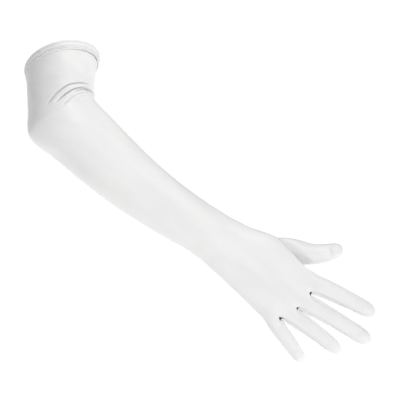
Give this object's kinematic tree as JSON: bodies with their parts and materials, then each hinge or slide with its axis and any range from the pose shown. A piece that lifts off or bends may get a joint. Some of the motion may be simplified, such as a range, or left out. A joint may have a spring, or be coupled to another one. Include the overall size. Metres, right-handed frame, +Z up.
{
  "type": "opera glove",
  "caption": "Long right-hand opera glove of white stretch satin, held as an arm holds it with the elbow bent and the fingers spread.",
  "frame": {"origin": "middle of the mouth of the cuff, where the arm goes in", "axes": "+X from the elbow towards the fingertips, +Z up, back of the hand towards -Y, palm towards +Y"},
  "size_m": [0.3864, 0.1124, 0.3551],
  "materials": {
    "satin": "white stretch satin with a soft sheen"
  },
  "bodies": {
    "root": {"cuff_hem": "satin", "sleeve": "satin", "hand": "satin", "thumb": "satin", "fourchette_index_middle": "satin", "fourchette_middle_ring": "satin", "fourchette_ring_little": "satin"}
  },
  "joints": []
}
